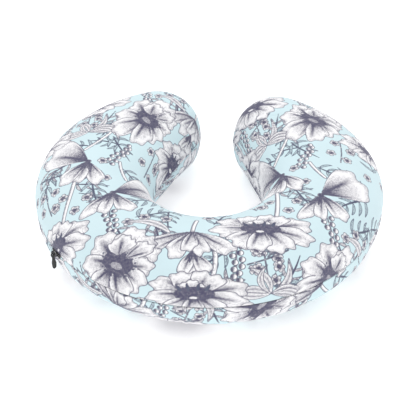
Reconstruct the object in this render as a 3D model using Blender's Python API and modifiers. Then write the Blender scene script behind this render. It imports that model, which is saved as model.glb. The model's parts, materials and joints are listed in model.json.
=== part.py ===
"""A U-shaped nursing pillow: a zipped cover of two panels over a stuffed inner cushion.

Metres, +Z up. The origin is at the middle of the pillow's base. +X is its long side, and +Y
points from the closed front towards the mouth between the two arm ends. In plan, angles run
about +Z from -Y, the front, towards +X.
"""

import math
from collections import namedtuple

import bmesh
import bpy
from mathutils import Vector

MM = 0.001

# Plan outline: front arc, side arc and end arc run smoothly into each other. A straight line
# joins the end arc to the waist arc, which curves the other way.
FRONT_RADIUS = 0.259
FRONT_ANGLE = math.radians(89)
SIDE_RADIUS = 0.223
SIDE_ANGLE = math.radians(157)
END_RADIUS = 0.070
WAIST_RADIUS = 0.080
WAIST_AHEAD = 0.026  # waist centre to front arc centre, towards the front

# Heights and the rounding of a cross-section, a superellipse
CROWN_HEIGHT = 0.069  # seam to the top, and to where the base would reach if it were not flat
BASE_PRESSED = 0.003  # how much of that the pillow's weight takes off the base
ROUNDING = 2.25

# Cover
COVER_WALL = 1.2 * MM
COVER_ALLOWANCE = 8 * MM  # how far the cloth turns in at the seam
COVER_THREAD = 0.5 * MM
CLEARANCE = 0.3 * MM
SEAM_GAP = 0.3 * MM  # between the two panels' edges

# Inner cushion
CASING_WALL = 1.0 * MM
CASING_ALLOWANCE = 6 * MM
CASING_THREAD = 0.4 * MM

# Zip, along the front arc
ZIP_HALF_ANGLE = math.radians(58)
TAPE_WIDTH = 14 * MM
TAPE_THICKNESS = 0.6 * MM
COIL_DIAMETER = 2.0 * MM
STOP_LENGTH = 4 * MM
TAPE_STITCH_SHARE = 0.6  # height of the stitching as a share of the tape's width

# Slider and pull tab
RUN_CLEARANCE = 0.5 * MM  # slider to what it runs along
SLIDER_PLATE = 1.2 * MM
SLIDER_LENGTH = 18 * MM
SLIDER_NOSE_LENGTH = 4 * MM  # front plate past the back plate, over the two ends
SLIDER_TAIL = 0.45  # height of the front plate's narrow end as a share of its wide end
SLIDER_NECK_LENGTH = 6 * MM
SLIDER_NECK_THICKNESS = 1.0 * MM
BRIDGE_LENGTH = 12 * MM
BRIDGE_DIAMETER = 1.8 * MM
TAB_THICKNESS = 1.6 * MM
TAB_EYE_RADIUS = 3.2 * MM
TAB_LENGTH = 26 * MM  # bridge to the tip
TAB_NECK_HALF_WIDTH = 1.8 * MM
TAB_BELLY_HALF_WIDTH = 3.1 * MM
TAB_BEVEL = 0.3 * MM
EYE_CLEARANCE = 0.5 * MM

EDGE_ROUNDING = 0.3 * MM  # on the slider and the stops

# Facets
ZIP_STEPS = 11  # from the front middle to the zip's end, the last one without a coil
FRONT_STEPS = 5
SIDE_STEPS = 8
END_STEPS = 8
OVERLAP = 0.4 * MM  # how far joined shapes run into each other
CURVE_STEPS = 5

# What follows from the sizes above
SEAM_HEIGHT = CROWN_HEIGHT - BASE_PRESSED
SEAM_HALF_GAP = SEAM_GAP / 2
SLOT_HALF_GAP = SLIDER_NECK_THICKNESS / 2 + CLEARANCE
TAPE_FRONT = COVER_WALL + COVER_THREAD + 2 * CLEARANCE
TAPE_BACK = TAPE_FRONT + TAPE_THICKNESS
COIL_FRONT = TAPE_BACK + CLEARANCE
COIL_BACK = COIL_FRONT + COIL_DIAMETER
FACET_SAG = FRONT_RADIUS * (1 - math.cos(ZIP_HALF_ANGLE / ZIP_STEPS / 2))
SLIDER_FRONT = COIL_BACK + FACET_SAG + RUN_CLEARANCE
SLIDER_BACK = SLIDER_FRONT + SLIDER_PLATE
CUSHION_SIDE = max(SLIDER_BACK + RUN_CLEARANCE, COVER_ALLOWANCE + CLEARANCE)
CUSHION_TOP = COVER_WALL + CLEARANCE
FILL_SIDE = CUSHION_SIDE + CASING_ALLOWANCE + CLEARANCE
FILL_TOP = CUSHION_TOP + CASING_WALL + CLEARANCE
BRIDGE_OUT = CLEARANCE + RUN_CLEARANCE + SLIDER_PLATE + TAB_EYE_RADIUS
BASE_ANGLE = math.asin((SEAM_HEIGHT / CROWN_HEIGHT) ** (ROUNDING / 2))
COIL_HALF_ANGLE = ZIP_HALF_ANGLE * (ZIP_STEPS - 1) / ZIP_STEPS
CLOSED_ANGLE = -(COIL_HALF_ANGLE - (SLIDER_LENGTH / 2 + CLEARANCE) / (FRONT_RADIUS - SLIDER_BACK))

# A station is one point of the outline, with what its cross-section needs: the edge, the unit
# vector from it into the cloth, and the point of the arm's ridge line that it runs up to.
Station = namedtuple("Station", "edge inward ridge angle")


def direction(angle):
    return Vector((math.sin(angle), -math.cos(angle)))


def span(start, end, steps):
    """Evenly spaced values from start to end, both included."""
    return [start + (end - start) * i / steps for i in range(steps + 1)]


# ---------------------------------------------------------------- plan outline

FRONT_CENTRE = Vector((0, 0))
SIDE_CENTRE = FRONT_CENTRE + (FRONT_RADIUS - SIDE_RADIUS) * direction(FRONT_ANGLE)
END_CENTRE = SIDE_CENTRE + (SIDE_RADIUS - END_RADIUS) * direction(SIDE_ANGLE)
WAIST_CENTRE = FRONT_CENTRE - Vector((0, WAIST_AHEAD))


def line_normal():
    """Unit normal of the line that touches the end arc and crosses over to the waist arc."""
    across = WAIST_CENTRE - END_CENTRE
    lean = math.acos((END_RADIUS + WAIST_RADIUS) / across.length)
    heading = math.atan2(across.y, across.x) - lean
    return Vector((math.cos(heading), math.sin(heading)))


def right_half():
    """Outer, end and inner stations of the right arm, from the front middle to the waist middle."""
    normal = line_normal()
    end_angle = math.atan2(normal.x, -normal.y) % (2 * math.pi)
    waist_angle = math.atan2(-normal.x, normal.y)
    front = span(0, ZIP_HALF_ANGLE, ZIP_STEPS) + span(ZIP_HALF_ANGLE, FRONT_ANGLE, FRONT_STEPS)[1:]
    side = span(FRONT_ANGLE, SIDE_ANGLE, SIDE_STEPS)[1:]
    outer = [(FRONT_CENTRE + FRONT_RADIUS * direction(a), -direction(a), a) for a in front]
    outer += [(SIDE_CENTRE + SIDE_RADIUS * direction(a), -direction(a), None) for a in side]
    end = [
        (END_CENTRE + END_RADIUS * direction(a), -direction(a), None)
        for a in span(SIDE_ANGLE, end_angle, END_STEPS)
    ]

    front_length = FRONT_RADIUS * FRONT_ANGLE
    outer_length = front_length + SIDE_RADIUS * (SIDE_ANGLE - FRONT_ANGLE)
    run = [FRONT_RADIUS * a for a in front]
    run += [front_length + SIDE_RADIUS * (a - FRONT_ANGLE) for a in side]
    line_start = WAIST_CENTRE - WAIST_RADIUS * normal
    line = END_CENTRE + END_RADIUS * normal - line_start
    waist_length = WAIST_RADIUS * waist_angle
    inner = []
    for length in run:
        along = (waist_length + line.length) * length / outer_length
        if along < waist_length:
            outward = direction(along / WAIST_RADIUS)
            inner.append((WAIST_CENTRE + WAIST_RADIUS * outward, outward))
        else:
            inner.append((line_start + line.normalized() * (along - waist_length), -normal))

    # The ridge keeps to the middle of the arm and drifts to the centre of the round end.
    drift = END_CENTRE - (outer[-1][0] + inner[-1][0]) / 2
    ridge = [
        (far[0] + near[0]) / 2 + drift * (length / outer_length) ** 2
        for far, near, length in zip(outer, inner, run)
    ]
    stations = [Station(p, n, r, a) for (p, n, a), r in zip(outer, ridge)]
    stations += [Station(p, n, END_CENTRE, None) for p, n, _ in end[1:-1]]
    stations += [Station(p, n, r, None) for (p, n), r in zip(reversed(inner), reversed(ridge))]
    return stations


def mirrored(station):
    flipped = [Vector((-v.x, v.y)) for v in station[:3]]
    return Station(*flipped, None if station.angle is None else -station.angle)


def whole_outline():
    """Stations once round, counter-clockwise from the left end of the zip, centred on the origin."""
    right = right_half()
    stations = right + [mirrored(s) for s in reversed(right[1:-1])]
    stations = stations[-ZIP_STEPS:] + stations[:-ZIP_STEPS]
    edges_y = [s.edge.y for s in stations]
    shift = Vector((0, -(min(edges_y) + max(edges_y)) / 2))
    return [Station(s.edge + shift, s.inward, s.ridge + shift, s.angle) for s in stations], shift


STATIONS, SHIFT = whole_outline()
AXIS = FRONT_CENTRE + SHIFT  # of the front arc, and so of the slider's travel
ZIP_STATIONS = STATIONS[: 2 * ZIP_STEPS + 1]
COIL_STATIONS = ZIP_STATIONS[1:-1]
SEAM_STATIONS = STATIONS[2 * ZIP_STEPS + 1 :]


def at_zip(station):
    return station.angle is not None and abs(station.angle) < ZIP_HALF_ANGLE + CLEARANCE


# ---------------------------------------------------------------- cross-section points


def rim_point(station, inset, height):
    """A point at a depth behind the outline and a height above the seam, below it if negative."""
    flat = station.edge + station.inward * inset
    return (flat.x, flat.y, SEAM_HEIGHT + height)


def skin_point(station, level, side, depth, up, rim=0.0):
    """A point of a rounded skin that lies inside the outer one by side and by depth.

    level is 0 at the seam and a right angle on the ridge, up is 1 above the seam and -1 below,
    and rim is the height at which the skin starts. The base is flat where it meets the ground.
    """
    edge = station.edge + station.inward * side
    flat = station.ridge + (edge - station.ridge) * max(math.cos(level), 0) ** (2 / ROUNDING)
    rise = rim + (CROWN_HEIGHT - depth - rim) * math.sin(level) ** (2 / ROUNDING)
    height = SEAM_HEIGHT + up * rise
    return (flat.x, flat.y, max(height, depth))


def level_at(height):
    """The level at which the outer skin stands this far from the seam."""
    return math.asin((height / CROWN_HEIGHT) ** (ROUNDING / 2))


COVER_LEVELS = [0, *span(level_at(TAPE_WIDTH), BASE_ANGLE, 3), math.pi / 2]
CUSHION_LEVELS = [*span(0, BASE_ANGLE, 3), math.pi / 2]

# ---------------------------------------------------------------- making objects


def collection(name):
    made = bpy.data.collections.new(name)
    bpy.context.scene.collection.children.link(made)
    return made


def material(name, colour, roughness, metallic=0.0):
    made = bpy.data.materials.new(name)
    made.use_nodes = True
    shader = made.node_tree.nodes["Principled BSDF"]
    shader.inputs["Base Color"].default_value = (*colour, 1)
    shader.inputs["Roughness"].default_value = roughness
    shader.inputs["Metallic"].default_value = metallic
    return made


def add_object(name, data, finish, group=None):
    made = bpy.data.objects.new(name, data)
    (group or PARTS).objects.link(made)
    if finish:
        data.materials.append(finish)
    return made


def loft(name, rings, finish, closed_rings=True, closed_along=False):
    """A solid through rings of points, which run side by side and may meet along a line."""
    mesh = bmesh.new()
    rows = [[mesh.verts.new(p) for p in ring] for ring in rings]
    along = zip(rows, rows[1:] + rows[:1]) if closed_along else zip(rows, rows[1:])
    for row, following in along:
        count = len(row) if closed_rings else len(row) - 1
        for i in range(count):
            j = (i + 1) % len(row)
            mesh.faces.new((row[i], row[j], following[j], following[i]))
    if not closed_rings:
        mesh.faces.new([row[0] for row in rows])
        mesh.faces.new([row[-1] for row in reversed(rows)])
    bmesh.ops.remove_doubles(mesh, verts=mesh.verts, dist=1e-6)
    bmesh.ops.recalc_face_normals(mesh, faces=mesh.faces)
    data = bpy.data.meshes.new(name)
    mesh.to_mesh(data)
    mesh.free()
    data.shade_smooth()
    data.set_sharp_from_angle(angle=math.radians(50))
    return add_object(name, data, finish)


def box(name, low, high, finish=None, group=None, tail=1.0):
    """A box between two corners with rounded edges; tail shrinks the height of its -X end."""
    mesh = bmesh.new()
    bmesh.ops.create_cube(mesh, size=1)
    low, high = Vector(low), Vector(high)
    size = high - low
    for vertex in mesh.verts:
        if vertex.co.x < 0:
            vertex.co.z *= tail
        vertex.co = (low + high) / 2 + Vector(a * b for a, b in zip(vertex.co, size))
    data = bpy.data.meshes.new(name)
    mesh.to_mesh(data)
    mesh.free()
    made = add_object(name, data, finish, group)
    rounding = made.modifiers.new("rounding", "BEVEL")
    rounding.width = EDGE_ROUNDING
    rounding.segments = 2
    return made


# ---------------------------------------------------------------- sewn pieces


def panel(name, up, levels, side, depth, wall, allowance, thread, finish, has_zip):
    """Half of a sewn case: a skin with a wall, and a seam allowance turned in along its edge."""
    half_gap = thread / 2 + CLEARANCE
    slotted = [has_zip and at_zip(s) for s in STATIONS]

    def edge_ring(inset, height, slot_inset, slot_height):
        return [
            rim_point(s, side + (slot_inset if slot else inset), up * (slot_height if slot else height))
            for s, slot in zip(STATIONS, slotted)
        ]

    def skin_ring(level, inset, rim, slot_rim):
        return [
            skin_point(s, level, side + inset, depth + inset, up, slot_rim if slot else rim)
            for s, slot in zip(STATIONS, slotted)
        ]

    lip = half_gap + wall
    slot_lip = SLOT_HALF_GAP + wall
    rings = [skin_ring(level, 0, SEAM_HALF_GAP, SLOT_HALF_GAP) for level in reversed(levels)]
    rings += [
        edge_ring(wall, SEAM_HALF_GAP, wall, SLOT_HALF_GAP),
        edge_ring(wall + CLEARANCE, half_gap, wall, SLOT_HALF_GAP),
        edge_ring(allowance, half_gap, wall, SLOT_HALF_GAP),
        edge_ring(allowance, lip, wall, slot_lip),
    ]
    rings += [skin_ring(level, wall, lip, slot_lip) for level in levels]
    return loft(name, rings, finish)


def swept(name, stations, section, finish):
    """A strip along the outline: section is a ring of (depth behind the outline, height) pairs."""
    rings = [[rim_point(s, inset, height) for s in stations] for inset, height in section]
    return loft(name, rings, finish, closed_rings=False, closed_along=True)


def round_section(inset, height, diameter, sides):
    turns = [2 * math.pi * (i + 0.5) / sides for i in range(sides)]
    return [
        (inset + diameter / 2 * math.cos(t), height + diameter / 2 * math.sin(t)) for t in turns
    ]


def tape_lean(height):
    """How far a tape leans in at this height, straight from the seam to where the skin has it."""
    station = ZIP_STATIONS[0]
    half_width = (station.edge - station.ridge).length
    inset = half_width * (1 - math.cos(level_at(TAPE_WIDTH)) ** (2 / ROUNDING))
    return inset * height / TAPE_WIDTH


def seam_thread(name, side, wall, diameter, stations, closed):
    """The stitching that runs between the two turned-in edges, just behind them."""
    section = round_section(side + wall + CLEARANCE + diameter, 0, diameter, 4)
    rings = [[rim_point(s, inset, height) for s in stations] for inset, height in section]
    return loft(name, rings, FINISHES["thread"], closed_rings=closed, closed_along=True)


# ---------------------------------------------------------------- cover and cushion


def make_cover():
    for name, up in (("cover_top_panel", 1), ("cover_bottom_panel", -1)):
        panel(
            name, up, COVER_LEVELS, 0, 0, COVER_WALL, COVER_ALLOWANCE, COVER_THREAD,
            FINISHES["cover"], has_zip=True,
        )
    seam_thread("cover_seam_thread", 0, COVER_WALL, COVER_THREAD, SEAM_STATIONS, closed=False)


def make_cushion():
    for name, up in (("casing_top_panel", 1), ("casing_bottom_panel", -1)):
        panel(
            name, up, CUSHION_LEVELS, CUSHION_SIDE, CUSHION_TOP, CASING_WALL, CASING_ALLOWANCE,
            CASING_THREAD, FINISHES["casing"], has_zip=False,
        )
    seam_thread(
        "casing_seam_thread", CUSHION_SIDE, CASING_WALL, CASING_THREAD, STATIONS, closed=True
    )
    upper = [
        [skin_point(s, level, FILL_SIDE, FILL_TOP, 1) for s in STATIONS]
        for level in reversed(CUSHION_LEVELS)
    ]
    lower = [
        [skin_point(s, level, FILL_SIDE, FILL_TOP, -1) for s in STATIONS]
        for level in CUSHION_LEVELS[1:]
    ]
    loft("fibre_fill", upper + lower, FINISHES["fill"])


# ---------------------------------------------------------------- zip


def make_tape(row, up):
    """One tape behind its panel, leaning in with the panel's curve, and its line of stitching."""
    lean = tape_lean(TAPE_WIDTH)
    section = [
        (TAPE_FRONT, up * SLOT_HALF_GAP),
        (TAPE_FRONT + lean, up * TAPE_WIDTH),
        (TAPE_BACK + lean, up * TAPE_WIDTH),
        (TAPE_BACK, up * SLOT_HALF_GAP),
    ]
    swept(f"zip_tape_{row}", ZIP_STATIONS, section, FINISHES["zip_tape"])
    height = TAPE_WIDTH * TAPE_STITCH_SHARE
    inset = TAPE_FRONT - CLEARANCE - COVER_THREAD / 2 + tape_lean(height)
    section = round_section(inset, up * height, COVER_THREAD, 4)
    swept(f"zip_stitching_{row}", COIL_STATIONS, section, FINISHES["thread"])


def make_coil(row, up):
    """One row of the coil, as the round bead that its turns fill."""
    inset = COIL_FRONT + COIL_DIAMETER / 2
    height = up * (SLOT_HALF_GAP + COIL_DIAMETER / 2)
    section = round_section(inset, height, COIL_DIAMETER, 8)
    swept(f"zip_coil_{row}", COIL_STATIONS, section, FINISHES["zip_coil"])


def make_stop(name, side, low, high):
    """A block behind the tapes that ends the coils, side -1 at the closed end and 1 at the other."""
    angle = side * (COIL_HALF_ANGLE + (STOP_LENGTH / 2 + CLEARANCE) / FRONT_RADIUS)
    near = FRONT_RADIUS - FACET_SAG - COIL_FRONT
    made = box(
        name,
        (-STOP_LENGTH / 2, -near, low),
        (STOP_LENGTH / 2, -near + COIL_DIAMETER, high),
        FINISHES["zip_metal"],
    )
    made.location = (AXIS.x, AXIS.y, SEAM_HEIGHT)
    made.rotation_euler.z = angle


def make_zip():
    reach = SLOT_HALF_GAP + COIL_DIAMETER
    for row, up in (("upper", 1), ("lower", -1)):
        make_tape(row, up)
        make_coil(row, up)
        low, high = sorted((up * SLOT_HALF_GAP, up * reach))
        make_stop(f"zip_top_stop_{row}", -1, low, high)
    make_stop("zip_bottom_stop", 1, -reach, reach)


# ---------------------------------------------------------------- slider and pull tab


def slider_shapes():
    """Name, corners and tail of the slider's boxes, from the travel axis with -Y outwards."""
    outside = -(FRONT_RADIUS + CLEARANCE + RUN_CLEARANCE)
    front = -(FRONT_RADIUS - SLIDER_FRONT)
    back = -(FRONT_RADIUS - SLIDER_BACK)
    channel = SLOT_HALF_GAP + COIL_DIAMETER + RUN_CLEARANCE
    reach = channel + SLIDER_PLATE + OVERLAP
    lip = -(FRONT_RADIUS - TAPE_BACK - tape_lean(reach) - FACET_SAG - RUN_CLEARANCE)
    half = SLIDER_LENGTH / 2
    neck = SLIDER_NECK_LENGTH / 2
    thin = SLIDER_NECK_THICKNESS / 2
    long_half = (SLIDER_LENGTH + SLIDER_NOSE_LENGTH) / 2
    plate = outside - SLIDER_PLATE
    wing = half - OVERLAP
    rim = reach - OVERLAP
    yield "upper_flange", (-wing, lip, channel), (wing, back - OVERLAP, rim), 1
    yield "lower_flange", (-wing, lip, -rim), (wing, back - OVERLAP, -channel), 1
    yield "neck", (-neck, outside - OVERLAP, -thin), (neck, front + OVERLAP, thin), 1
    yield "front_plate", (-long_half, plate, -channel), (long_half, outside, channel), SLIDER_TAIL
    yield "back_plate", (-half, front, -reach), (half, back, reach), 1


def helper(made):
    made.hide_render = True
    made.display_type = "WIRE"
    return made


def bridge():
    """The arch along the front plate that the tab hangs from, as a mesh that Booleans take."""
    foot = FRONT_RADIUS + CLEARANCE + RUN_CLEARANCE + SLIDER_PLATE - OVERLAP
    top = FRONT_RADIUS + BRIDGE_OUT + BRIDGE_DIAMETER / 2
    half = BRIDGE_LENGTH / 2
    shoulder = half - BRIDGE_DIAMETER / 2
    curve = bpy.data.curves.new("bridge_curve", "CURVE")
    curve.dimensions = "3D"
    curve.bevel_depth = BRIDGE_DIAMETER / 2
    curve.bevel_resolution = 2
    curve.use_fill_caps = True
    spline = curve.splines.new("POLY")
    path = [(-half, -foot), (-half, -(top - BRIDGE_DIAMETER)), (-shoulder, -top)]
    path += [(-x, y) for x, y in reversed(path)]
    spline.points.add(len(path) - 1)
    for point, (x, y) in zip(spline.points, path):
        point.co = (x, y, 0, 1)
    source = bpy.data.objects.new("bridge_curve", curve)
    HELPERS.objects.link(source)
    bpy.context.view_layer.update()
    graph = bpy.context.evaluated_depsgraph_get()
    data = bpy.data.meshes.new_from_object(source.evaluated_get(graph))
    mesh = bmesh.new()
    mesh.from_mesh(data)
    bmesh.ops.remove_doubles(mesh, verts=mesh.verts, dist=1e-6)
    bmesh.ops.recalc_face_normals(mesh, faces=mesh.faces)
    mesh.to_mesh(data)
    mesh.free()
    made = add_object("bridge", data, None, HELPERS)
    made.matrix_world = source.matrix_world
    bpy.data.objects.remove(source)
    return made


def make_slider():
    shapes = [
        box(name, low, high, group=HELPERS, tail=tail) for name, low, high, tail in slider_shapes()
    ]
    slider = shapes.pop()
    slider.name = "slider_body"
    HELPERS.objects.unlink(slider)
    PARTS.objects.link(slider)
    slider.data.materials.append(FINISHES["zip_metal"])
    slider.location = (AXIS.x, AXIS.y, SEAM_HEIGHT)
    slider.rotation_euler.z = CLOSED_ANGLE
    for shape in [*shapes, bridge()]:
        helper(shape)
        shape.parent = slider
        join = slider.modifiers.new(shape.name, "BOOLEAN")
        join.operation = "UNION"
        join.object = shape
    return slider


def make_pull_tab(slider):
    """A flat teardrop, its eye round the bridge; it turns about the bridge's top bar."""
    curve = bpy.data.curves.new("pull_tab", "CURVE")
    curve.dimensions = "2D"
    curve.fill_mode = "BOTH"
    curve.extrude = TAB_THICKNESS / 2 - TAB_BEVEL
    curve.bevel_depth = TAB_BEVEL
    curve.bevel_resolution = 1
    curve.resolution_u = CURVE_STEPS
    side = [
        (0, -TAB_EYE_RADIUS),
        (TAB_EYE_RADIUS, 0),
        (TAB_NECK_HALF_WIDTH, 2 * TAB_EYE_RADIUS),
        (TAB_BELLY_HALF_WIDTH, 0.7 * TAB_LENGTH),
        (0, TAB_LENGTH),
    ]
    outline = side + [(-x, y) for x, y in reversed(side[1:-1])]
    hole = BRIDGE_DIAMETER / 2 + EYE_CLEARANCE + TAB_BEVEL
    eye = [(0, -hole), (hole, 0), (0, hole), (-hole, 0)]
    for points in (outline, eye):
        spline = curve.splines.new("BEZIER")
        spline.use_cyclic_u = True
        spline.bezier_points.add(len(points) - 1)
        for point, (x, y) in zip(spline.bezier_points, points):
            point.co = (x, y, 0)
            point.handle_left_type = point.handle_right_type = "AUTO"
    tab = add_object("pull_tab", curve, FINISHES["zip_metal"])
    tab.parent = slider
    tab.location = (0, -(FRONT_RADIUS + BRIDGE_OUT + BRIDGE_DIAMETER / 2), 0)
    # The drawing's +Y hangs down and its face looks along the seam.
    tab.rotation_euler = (math.radians(90), math.radians(180), math.radians(90))


# ---------------------------------------------------------------- the pillow

for old in list(bpy.data.objects):
    bpy.data.objects.remove(old)
PARTS = collection("nursing_pillow")
HELPERS = collection("helpers")
FINISHES = {
    "cover": material("cover", (0.72, 0.84, 0.88), 0.85),
    "casing": material("casing", (0.9, 0.9, 0.88), 0.9),
    "fill": material("fill", (0.95, 0.95, 0.94), 1.0),
    "thread": material("thread", (0.80, 0.86, 0.88), 0.7),
    "zip_tape": material("zip_tape", (0.72, 0.80, 0.83), 0.8),
    "zip_coil": material("zip_coil", (0.76, 0.82, 0.85), 0.4),
    "zip_metal": material("zip_metal", (0.015, 0.015, 0.015), 0.35, 0.6),
}
make_cover()
make_cushion()
make_zip()
make_pull_tab(make_slider())
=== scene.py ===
"""Looks of the U-shaped nursing pillow: a printed cover over a stuffed cushion, on a white floor."""

import json
import math

import bpy
import numpy as np
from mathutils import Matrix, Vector


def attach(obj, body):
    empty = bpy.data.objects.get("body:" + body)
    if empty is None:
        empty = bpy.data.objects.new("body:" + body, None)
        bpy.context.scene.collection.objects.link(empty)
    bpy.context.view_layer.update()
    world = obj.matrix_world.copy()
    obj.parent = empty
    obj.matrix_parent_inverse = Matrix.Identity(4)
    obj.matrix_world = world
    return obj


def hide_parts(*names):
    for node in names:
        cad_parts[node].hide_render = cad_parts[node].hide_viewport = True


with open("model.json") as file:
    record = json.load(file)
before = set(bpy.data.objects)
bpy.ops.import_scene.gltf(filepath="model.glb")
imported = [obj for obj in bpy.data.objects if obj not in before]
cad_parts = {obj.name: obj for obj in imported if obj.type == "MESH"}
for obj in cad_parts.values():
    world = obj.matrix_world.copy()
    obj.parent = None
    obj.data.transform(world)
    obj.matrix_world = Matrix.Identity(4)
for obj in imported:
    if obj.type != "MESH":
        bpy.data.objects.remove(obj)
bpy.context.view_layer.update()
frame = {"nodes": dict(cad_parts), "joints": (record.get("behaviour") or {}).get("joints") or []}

MM = 0.001

# Plan outline, as in the part: front, side and end arcs, a line, and the waist arc
FRONT_RADIUS = 0.259
FRONT_ANGLE = math.radians(89)
SIDE_RADIUS = 0.223
SIDE_ANGLE = math.radians(157)
END_RADIUS = 0.070
WAIST_RADIUS = 0.080
WAIST_AHEAD = 0.026
CROWN_HEIGHT = 0.069
ROUNDING = 2.25
ZIP_HALF_ANGLE = math.radians(58)

TRAVEL = next(j for j in frame["joints"] if j["name"] == "slider_travel")
SHIFT = np.array(TRAVEL["pos_m"][:2])  # from the outline's own centre to the frame's origin
SEAM_HEIGHT = TRAVEL["pos_m"][2]

# Sewing: the roll is the cloth's rounding at its edge, the turn is what is folded in behind it
SEAM_HALF_GAP = 0.2 * MM
SEAM_ROLL = 1.2 * MM
SEAM_TURN = 5.0 * MM
SLOT_HALF_GAP = 0.6 * MM  # along the zip, where the slider's neck passes
SLOT_ROLL = 1.0 * MM
SLOT_TURN = 0.5 * MM
SLOT_FADE = math.radians(1.5)
ROLL_HEIGHTS = [0.02, 0.1, 0.22, 0.4, 0.65]  # rows of the roll, as shares of its radius
GAP_FADE = 8  # height over which the gap closes up, in roll radii

# Cushion: how far its casing and its filling lie inside the cover's skin
CASING_SIDE = 8.6 * MM
CASING_DEPTH = 1.8 * MM
FILL_SIDE = 15 * MM
FILL_DEPTH = 3.2 * MM

# Print
REPEAT = np.array([0.272, 0.317])
PRINT_TURN = math.radians(3.4)  # how far the print runs askew of the pillow
ARMS_DRAWN = 0.68  # how much wider apart the arms lie in the flat cloth, for each metre back
FAR = 3 * MM  # a drawn line's field is kept only this near to it
LINE = 0.45 * MM  # half the width of a drawn line
SOLID = 1.3  # a hatching so dense that no cloth shows between its strokes
STEM_PIECES = 13
UNDERGROWTH = 24
SCATTER = np.array([0.7549, 0.5698])  # steps whose fractions never bunch together
STALK = 2.4 * MM  # half the width of a flower's stalk
NECK = 2.8 * MM  # the same just under a flower
TWIG = 0.6 * MM
PANEL_SHIFTS = {1: np.zeros(2), -1: np.array([0.103, 0.061])}  # where each panel is cut from it
LEAST_SLOPE = 0.2  # of a shape's level, so that its distance stays finite

# Meshes
COVER_SPACING = 1.5 * MM
CASING_SPACING = 4 * MM
SWELL_SPACING = 6 * MM
SAME_PLACE = MM / 100
ARC_SAMPLES = 2000

# Simulation
SWELL_ROOM = 1.5 * MM  # the simulated skin starts this far inside the real one
MOST_MOVE = 4 * MM
CALM_BAND = 22 * MM  # next to the zip, where the cloth is held flat by its tapes
SIMULATED_FRAMES = 20

# Studio
SENSOR = 36.0
LENS = 90.21
AZIMUTH = math.radians(5.11)
ELEVATION = math.radians(37.98)
DISTANCE = 1.5423
AIM = Vector((0.0019, -0.0196, SEAM_HEIGHT))
FLOOR_HALF = 6.0
FLOOR_DROP = 0.3 * MM
FLOOR_GLOW = 0.3
SKY_STRENGTH = 0.86
LIGHTS = {  # place, size and power
    "overhead": ((-0.3, 0.5, 2.6), 2.6, 26.0),
    "front": ((0.8, -2.2, 1.5), 1.6, 5.0),
}


def smooth(low, high, value):
    """Rises from 0 to 1 as the value goes from low to high, level at both ends."""
    share = np.clip((value - low) / (high - low), 0, 1)
    return share * share * (3 - 2 * share)


# ---------------------------------------------------------------- outline


def direction(angle):
    """Plan unit vectors at these angles, counter-clockwise from straight ahead."""
    return np.stack([np.sin(angle), -np.cos(angle)], -1)


FRONT_CENTRE = np.zeros(2)
SIDE_CENTRE = FRONT_CENTRE + (FRONT_RADIUS - SIDE_RADIUS) * direction(FRONT_ANGLE)
END_CENTRE = SIDE_CENTRE + (SIDE_RADIUS - END_RADIUS) * direction(SIDE_ANGLE)
WAIST_CENTRE = FRONT_CENTRE - np.array([0, WAIST_AHEAD])


def line_normal():
    """Unit normal of the line that touches the end arc and crosses over to the waist arc."""
    across = WAIST_CENTRE - END_CENTRE
    lean = math.acos((END_RADIUS + WAIST_RADIUS) / np.linalg.norm(across))
    return direction(math.atan2(across[1], across[0]) - lean + math.pi / 2)


NORMAL = line_normal()
END_ANGLE = math.atan2(NORMAL[0], -NORMAL[1]) % (2 * math.pi)
WAIST_ANGLE = math.atan2(-NORMAL[0], NORMAL[1])
LINE_START = WAIST_CENTRE - WAIST_RADIUS * NORMAL
LINE_VECTOR = END_CENTRE + END_RADIUS * NORMAL - LINE_START
LINE_LENGTH = float(np.linalg.norm(LINE_VECTOR))
FRONT_LENGTH = FRONT_RADIUS * FRONT_ANGLE
OUTER_LENGTH = FRONT_LENGTH + SIDE_RADIUS * (SIDE_ANGLE - FRONT_ANGLE)
WAIST_LENGTH = WAIST_RADIUS * WAIST_ANGLE


def outer_side(share):
    """Edge points and inward unit vectors at these shares of the outer side, from the front."""
    run = (share * OUTER_LENGTH)[:, None]
    front = direction(run[:, 0] / FRONT_RADIUS)
    side = direction(FRONT_ANGLE + (run[:, 0] - FRONT_LENGTH) / SIDE_RADIUS)
    at_front = run < FRONT_LENGTH
    edge = np.where(at_front, FRONT_CENTRE + FRONT_RADIUS * front, SIDE_CENTRE + SIDE_RADIUS * side)
    return edge, -np.where(at_front, front, side)


def inner_side(share):
    """The same for the inner side, from the middle of the waist."""
    run = (share * (WAIST_LENGTH + LINE_LENGTH))[:, None]
    outward = direction(run[:, 0] / WAIST_RADIUS)
    straight = LINE_START + LINE_VECTOR * (run - WAIST_LENGTH) / LINE_LENGTH
    at_waist = run < WAIST_LENGTH
    edge = np.where(at_waist, WAIST_CENTRE + WAIST_RADIUS * outward, straight)
    return edge, np.where(at_waist, outward, -NORMAL)


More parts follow.
